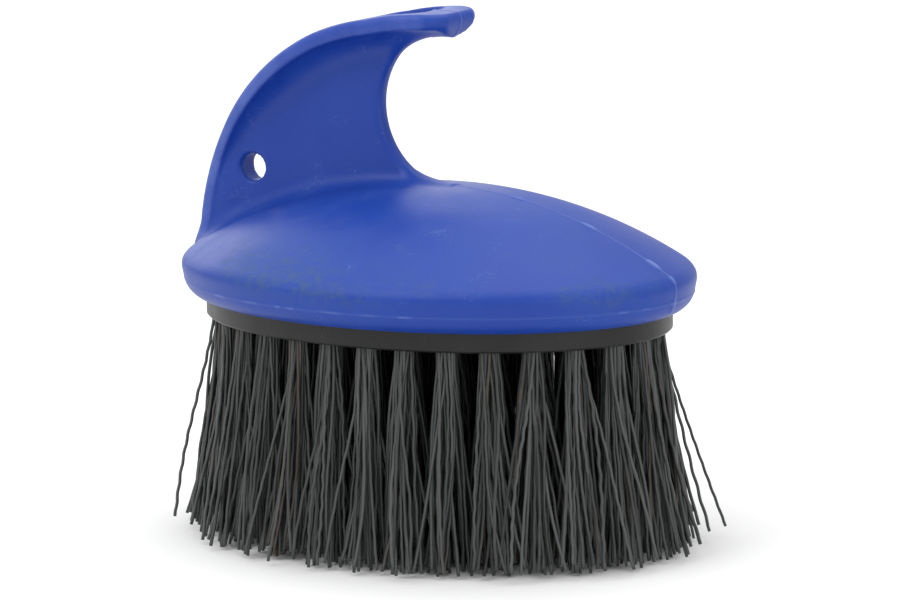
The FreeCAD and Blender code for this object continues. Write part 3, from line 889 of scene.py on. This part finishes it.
    def raise_flash(self, mesh: bpy.types.Mesh) -> None:
        """Raises the parting line with its nubs and the lip's ragged flash, and marks them."""
        draw = np.random.default_rng(self.nub_seed)
        points = points_of(mesh)
        x, y, rise = self.form.split(points)
        ridge = np.exp(-(self.near_ridge(x, y, rise) / self.ridge_width) ** 2)
        nubs = np.zeros(len(points))
        for centre, length, width, height in self.nubs:
            lengthwise = np.exp(-((x / MM - centre) / (length / 2)) ** 4)
            crosswise = np.exp(-(self.near_ridge(x, y, rise) / (width * MM)) ** 2)
            nubs = np.maximum(nubs, lengthwise * crosswise * height * MM)
        line = np.exp(-(self.near_lip_line(x, y, rise) / (0.28 * MM)) ** 2)
        turn = np.arctan2(y / self.form.half_y, x / self.form.half_x)
        ragged = np.zeros(len(points))
        for centre in draw.uniform(-math.pi, math.pi, self.flash_runs):
            length = draw.uniform(*self.flash_run_length)
            gap = np.angle(np.exp(1j * (turn - centre)))
            ragged = np.maximum(ragged, draw.uniform(0.4, 1.0) * np.exp(-(gap / length) ** 4))
        # Painted light on the flange's side faces, with some rub wear.
        paling = self.worn_and_lit_edge(x, y, rise)
        lift = ridge * self.ridge_height + nubs
        lift += line * (self.lip_line_height + ragged * 0.12 * MM)
        touched = lift > 0.002 * MM
        slope = self.form.slope(points[touched])
        slope /= np.maximum(np.linalg.norm(slope, axis=1), 1e-9)[:, None]
        points[touched] += slope * lift[touched][:, None]
        set_points(mesh, points)
        pale = np.clip(ridge * 0.22 + nubs / (0.9 * MM) + line * (0.08 + 0.32 * ragged ** 2), 0, 1)
        set_marks(mesh, flash=pale, wear=paling)

    def worn_and_lit_edge(self, x: np.ndarray, y: np.ndarray, rise: np.ndarray) -> np.ndarray:
        """How much paler the flange's side faces are painted, as painted light with some rub wear: most on
        the flange's side faces, down its back.

        Args:
            x, y, rise: Places along the brush, across it, and over the block's face.

        Returns:
            Shares from 0 to 1.
        """
        form = self.form
        inner = form.fin_ovals(x, rise)[1]
        side = oval_gap(x, y, form.half_x + form.flange_overrun, form.flange_half_width)
        on_side = np.clip(1 + (side + 0.2 * MM) / (0.9 * MM), 0, 1) * np.clip(inner / (0.5 * MM) + 0.6, 0, 1)
        towards_tip = np.interp(x, self.wear_x, self.wear_share)
        return on_side * towards_tip * (rise > form.dome_height * 0.5)


def points_of(mesh: bpy.types.Mesh) -> np.ndarray:
    """A mesh's points, one row each."""
    flat = np.empty(len(mesh.vertices) * 3, np.float32)
    mesh.vertices.foreach_get("co", flat)
    return flat.reshape(-1, 3).astype(float)


def set_points(mesh: bpy.types.Mesh, points: np.ndarray) -> None:
    """Moves a mesh's points to new places, one row each."""
    mesh.vertices.foreach_set("co", points.astype(np.float32).ravel())
    mesh.update()


def set_marks(mesh: bpy.types.Mesh, **marks: np.ndarray) -> None:
    """Keeps numbers at a mesh's points, under the names given."""
    for label, values in marks.items():
        mark = mesh.attributes.new(label, "FLOAT", "POINT")
        mark.data.foreach_set("value", values.astype(np.float32))
    mesh.update()


# -------------------------------------------------------------------- bristles


@dataclass(frozen=True)
class TuftPlace:
    """Where one tuft leaves the block and where it ends, read from its CAD solid."""

    root: Vector
    tip: Vector
    root_radius: float
    tip_radius: float

    @property
    def outward(self) -> Vector:
        """The way the tuft leans, level."""
        lean = self.tip - self.root
        return Vector((lean.x, lean.y, 0.0))


def islands(made: bmesh.types.BMesh) -> list[list[bmesh.types.BMVert]]:
    """The separate solids of a mesh, as lists of their points."""
    found = []
    seen = set()
    for start in made.verts:
        if start in seen:
            continue
        seen.add(start)
        members = [start]
        for vertex in members:
            for edge in vertex.link_edges:
                other = edge.other_vert(vertex)
                if other not in seen:
                    seen.add(other)
                    members.append(other)
        found.append(members)
    return found


def tuft_places(node: str) -> list[TuftPlace]:
    """Reads each tuft of a CAD node.

    Args:
        node: The node's name.

    Returns:
        The places, in order round the oval.
    """
    made = copy_of_node(node)
    places = []
    for members in islands(made):
        points = np.array([vertex.co for vertex in members])
        ends = []
        for level in (points[:, 2].max(), points[:, 2].min()):
            ring = points[np.abs(points[:, 2] - level) < 0.05 * MM]
            centre = (ring.min(0) + ring.max(0)) / 2
            ends.append((Vector(centre), np.linalg.norm(ring - centre, axis=1).max()))
        places.append(TuftPlace(ends[0][0], ends[1][0], ends[0][1], ends[1][1]))
    made.free()
    return sorted(places, key=lambda place: math.atan2(place.root.y, place.root.x))


@dataclass(frozen=True)
class StrandCut:
    """How finely a ring of tufts is made: the hidden rings are coarser."""

    strands: int
    segments: int
    sides: int


@dataclass
class TuftRing:
    """One ring of tufts: crimped filaments that splay and cross towards their tips."""

    nodes: list[str]
    label: str
    cut: StrandCut
    seed: int
    strand_radius: float = 0.46 * MM
    sunk: float = 3.0 * MM
    splay: float = 2.9 * MM
    stray_share: float = 0.20
    stray_splay: float = 6.5 * MM
    most_splay: float = 10.5 * MM
    bow: float = 0.85 * MM
    crimp: float = 0.11 * MM
    crimp_length: tuple[float, float] = (5.0 * MM, 11.0 * MM)
    uneven: float = 3.2 * MM
    uneven_power: float = 1.6
    lean_share: tuple[float, float] = (0.5, 1.9)
    flare_power: float = 1.25
    least_rise: float = 0.25 * MM

    def build(self, material: bpy.types.Material) -> list[bpy.types.Object]:
        """Builds and dresses every tuft of the ring.

        Args:
            material: The filaments' material.

        Returns:
            The tufts, one object each.
        """
        made = []
        for node in self.nodes:
            for place in tuft_places(node):
                name = "bristles_%s_%02d" % (self.label, len(made) + 1)
                draw = np.random.default_rng(self.seed * 1000 + len(made))
                paths = self.paths(place, draw)
                mesh = self.tubes(name, paths, draw)
                piece = new_piece(name, mesh, node)
                piece.data.materials.append(material)
                made.append(piece)
        return made

    def paths(self, place: TuftPlace, draw: np.random.Generator) -> np.ndarray:
        """Centre lines of one tuft's filaments.

        Args:
            place: The tuft's place.
            draw: The source of chance.

        Returns:
            Points by filament, by segment and by axis.
        """
        count = self.cut.strands
        face_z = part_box("bristle_block")[0].z
        golden = math.pi * (3 - math.sqrt(5))
        number = np.arange(count)
        radius = np.sqrt((number + 0.5) / count) * (place.root_radius - self.strand_radius)
        angle = number * golden + draw.uniform(0, 2 * math.pi)
        start = np.stack([radius * np.cos(angle), radius * np.sin(angle)], 1)
        stray = draw.random(count) < self.stray_share
        flare = draw.normal(0, 1, (count, 2)) * self.splay
        flare = np.where(stray[:, None], draw.normal(0, 1, (count, 2)) * self.stray_splay, flare)
        reach = np.linalg.norm(flare, axis=1, keepdims=True)
        flare *= self.most_splay / np.maximum(reach, self.most_splay)
        flare += start * (place.tip_radius / place.root_radius - 1)
        lean = np.array(place.outward)[:2] * draw.uniform(*self.lean_share, (count, 1))
        spread = flare + lean
        length = face_z - draw.random(count) ** self.uneven_power * self.uneven
        level = np.linalg.norm(spread, axis=1)
        drop = np.sqrt(np.maximum(length ** 2 - level ** 2, 0))
        along = np.linspace(0, 1, self.cut.segments + 1)[None, :, None]
        bowed = draw.normal(0, 1, (count, 1, 2)) * self.bow * np.sin(np.pi * along)
        late = draw.normal(0, 1, (count, 1, 2)) * self.bow * np.sin(2 * np.pi * along) * 0.5
        wave = draw.uniform(*self.crimp_length, (count, 1, 1))
        phase = draw.uniform(0, 2 * math.pi, (count, 1, 1))
        lateral = draw.uniform(0, math.pi, (count, 1, 1))
        sway = np.sin(2 * math.pi * along * length[:, None, None] / wave + phase)
        sway = sway * self.crimp * draw.uniform(0.5, 1.5, (count, 1, 1)) * np.minimum(1, along * 6)
        crimp = np.concatenate([np.cos(lateral), np.sin(lateral)], 2) * sway
        centre = np.array(place.root)[:2] + start[:, None, :]
        flat = centre + spread[:, None, :] * along ** self.flare_power + bowed + late + crimp
        height = face_z - drop[:, None, None] * along
        line = np.concatenate([flat, np.maximum(height, self.least_rise)], 2)
        sunk = line[:, :1, :] + np.array([0, 0, self.sunk])
        return np.concatenate([sunk, line], 1)

    def tubes(self, name: str, paths: np.ndarray, draw: np.random.Generator) -> bpy.types.Mesh:
        """One mesh of closed tubes along the paths, with flat cut ends.

        Args:
            name: The mesh's name.
            paths: Points by filament, by segment and by axis.
            draw: The source of chance.

        Returns:
            The mesh, with its bake map and the strand and along attributes.
        """
        count, rows, _ = paths.shape
        sides = self.cut.sides
        tangent = np.gradient(paths, axis=1)
        tangent /= np.linalg.norm(tangent, axis=2, keepdims=True)
        first = np.cross(tangent, np.array([0.0, 1.0, 0.0]))
        first /= np.linalg.norm(first, axis=2, keepdims=True)
        second = np.cross(tangent, first)
        turn = 2 * math.pi * np.arange(sides) / sides + draw.uniform(0, 2, (count, 1))
        radius = self.strand_radius * draw.uniform(0.88, 1.1, (count, 1, 1, 1))
        ring = (first[:, :, None] * np.cos(turn)[:, None, :, None]
                + second[:, :, None] * np.sin(turn)[:, None, :, None])
        points = (paths[:, :, None] + ring * radius).reshape(-1, 3)
        points[:, 2] = np.maximum(points[:, 2], 0.0)

        base = np.arange(count)[:, None, None] * rows * sides
        row = np.arange(rows - 1)[None, :, None] * sides
        side = np.arange(sides)[None, None, :]
        after = (side + 1) % sides
        walls = np.stack([base + row + side, base + row + sides + side,
                          base + row + sides + after, base + row + after], -1).reshape(-1, 4)
        start_caps = (base[:, 0] + np.arange(sides))
        end_caps = (base[:, 0] + (rows - 1) * sides + np.arange(sides)[::-1])
        faces = walls.tolist() + start_caps.tolist() + end_caps.tolist()
        mesh = bpy.data.meshes.new(name)
        mesh.from_pydata(points.tolist(), [], faces)
        smooth = np.ones(len(faces), bool)
        smooth[len(walls):] = False
        mesh.polygons.foreach_set("use_smooth", smooth)
        self.map_strands(mesh, count, rows)
        strand = np.repeat(draw.random(count), rows * sides)
        along = np.tile(np.repeat(np.linspace(0, 1, rows), sides), count)
        set_marks(mesh, strand=strand, along=along)
        return mesh

    def map_strands(self, mesh: bpy.types.Mesh, count: int, rows: int) -> None:
        """Lays each filament out as its own upright strip of the bake map.

        Args:
            mesh: The tubes.
            count: How many filaments it has.
            rows: Rings of points along each.
        """
        sides = self.cut.sides
        number = np.arange(count)[:, None, None]
        row = np.arange(rows - 1)[None, :, None]
        side = np.arange(sides)[None, None, :]
        shape = (count, rows - 1, sides)
        left, right = (np.broadcast_to((number + 0.06 + 0.88 * (side + step) / sides) / count, shape)
                       for step in (0, 1))
        upper, lower = (np.broadcast_to(0.03 + 0.94 * (row + step) / (rows - 1), shape)
                        for step in (0, 1))
        walls = np.stack([left, upper, left, lower, right, lower, right, upper], -1).reshape(-1)
        turn = 2 * math.pi * np.arange(sides) / sides
        caps = []
        for level in (0.012, 0.988):
            across = (np.arange(count)[:, None] + 0.5 + 0.3 * np.cos(turn)) / count
            up = level + 0.008 * np.sin(turn) + 0 * across
            caps.append(np.stack([across, up], -1).reshape(-1))
        layer = mesh.uv_layers.new(name="OFBake")
        layer.uv.foreach_set("vector", np.concatenate([walls, *caps]).astype(np.float32))


# ---------------------------------------------------------------------- studio


@dataclass
class Studio:
    """A pale floor, soft light and the camera."""

    target_rise: float = 59.0 * MM
    distance: float = 1.5
    azimuth: float = 33.0
    elevation: float = 10.0
    roll: float = -0.97
    lens: float = 223.6
    shift: tuple[float, float] = (0.0141, 0.0206)
    floor_half: float = 6.0
    pale: tuple[float, ...] = (0.86, 0.86, 0.86, 1.0)

    def build(self) -> None:
        """Makes the camera, the lights, the sky and the floor."""
        self.add_camera()
        self.add_floor()
        self.add_sky()
        self.add_panel("key", (-0.5, -0.85, 1.15), (0.9, 0.7), 7.0)
        self.add_panel("overhead", (0.1, 0.15, 1.2), (1.2, 1.2), 8.0)
        self.add_panel("fill", (1.2, -0.55, 0.45), (0.9, 0.8), 3.0)
        self.add_panel("back", (-1.0, 0.7, 0.6), (1.2, 0.8), 5.0)

    def add_camera(self) -> None:
        """A long lens aimed at the middle of the block's face."""
        side = math.radians(self.azimuth)
        up = math.radians(self.elevation)
        back = Vector((math.sin(side) * math.cos(up), -math.cos(side) * math.cos(up), math.sin(up)))
        data = bpy.data.cameras.new("camera")
        data.lens = self.lens
        data.sensor_width = 36.0
        data.shift_x, data.shift_y = self.shift
        data.clip_start = 0.05
        data.clip_end = 30.0
        camera = link("camera", data)
        aim = (-back).to_track_quat("-Z", "Y").to_matrix().to_4x4()
        rolled = aim @ Matrix.Rotation(math.radians(self.roll), 4, "Z")
        place = Vector((0, 0, self.target_rise)) + back * self.distance
        camera.matrix_world = Matrix.Translation(place) @ rolled
        bpy.context.scene.camera = camera

    def add_floor(self) -> None:
        """A wide pale floor with a barely visible mottle."""
        mesh = bpy.data.meshes.new("floor")
        half = self.floor_half
        corners = [(-half, -half, 0), (half, -half, 0), (half, half, 0), (-half, half, 0)]
        mesh.from_pydata(corners, [], [(0, 1, 2, 3)])
        floor = link("floor", mesh)
        finish = Finish("pale_floor", 0.2)
        material, sheet, shader = finish.start()
        place = sheet.places()
        patches = finish.effect(sheet, "cloud", place, Scale=3.0, Low=0.3, High=0.8)
        shade = tuple(0.985 * part for part in self.pale[:3]) + (1.0,)
        sheet.feed(shader.inputs["Base Color"], sheet.mix(patches, self.pale, shade))
        shader.inputs["Roughness"].default_value = 0.9
        mesh.materials.append(material)

    def add_sky(self) -> None:
        """An even pale surround, shown with its plain colours."""
        bpy.context.scene.view_settings.view_transform = "Standard"
        world = bpy.data.worlds.new("surround")
        world.use_nodes = True
        glow = world.node_tree.nodes["Background"]
        glow.inputs["Color"].default_value = (1.0, 1.0, 1.0, 1.0)
        glow.inputs["Strength"].default_value = 0.75
        bpy.context.scene.world = world

    def add_panel(self, name: str, place: tuple[float, ...], size: tuple[float, float], power: float) -> None:
        """A soft rectangular light aimed at the brush.

        Args:
            name: The light's name.
            place: Where it stands.
            size: Its width and height.
            power: Its power in watts.
        """
        data = bpy.data.lights.new(name, "AREA")
        data.shape = "RECTANGLE"
        data.size, data.size_y = size
        data.energy = power
        lamp = link(name, data)
        lamp.location = place
        aim = Vector((0, 0, self.target_rise)) - Vector(place)
        lamp.rotation_euler = aim.to_track_quat("-Z", "Y").to_euler()


# -------------------------------------------------------------------- assembly


def dress_cad_node(name: str, material: bpy.types.Material) -> None:
    """Gives a CAD node that stays its finish, and says so in the log."""
    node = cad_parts[name]
    node.data.materials.clear()
    node.data.materials.append(material)
    log.info("%s: finish %s", name, material.name)


def tuft_rings() -> list[TuftRing]:
    """The rings of tufts, the outer one finest."""
    names = sorted(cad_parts)
    outer = [name for name in names if name.startswith("tuft_outer_")]
    rings = [TuftRing(outer, "outer", StrandCut(30, 42, 5), seed=11)]
    cuts = {"second": StrandCut(28, 36, 4), "third": StrandCut(24, 30, 4),
            "fourth": StrandCut(24, 30, 4), "fifth": StrandCut(24, 30, 4)}
    for number, (label, cut) in enumerate(cuts.items(), start=2):
        node = "tufts_%s_ring" % label
        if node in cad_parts:
            rings.append(TuftRing([node], label, cut, seed=10 + number))
    return rings


def main() -> None:
    """Builds the brush and its studio, in order."""
    logging.basicConfig(level=logging.INFO, format="%(name)s: %(message)s")
    Studio().build()
    Handle().build()
    filament = BristleFilament().build()
    for ring in tuft_rings():
        made = ring.build(filament)
        log.info("%s ring: %d tufts", ring.label, len(made))
    dress_cad_node("bristle_block", BlackPlastic().build())
    steel = DrawnSteel().build()
    for name in sorted(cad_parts):
        if name.startswith("anchors_") or name == "block_screws":
            dress_cad_node(name, steel)


if __name__ == "__main__":
    main()
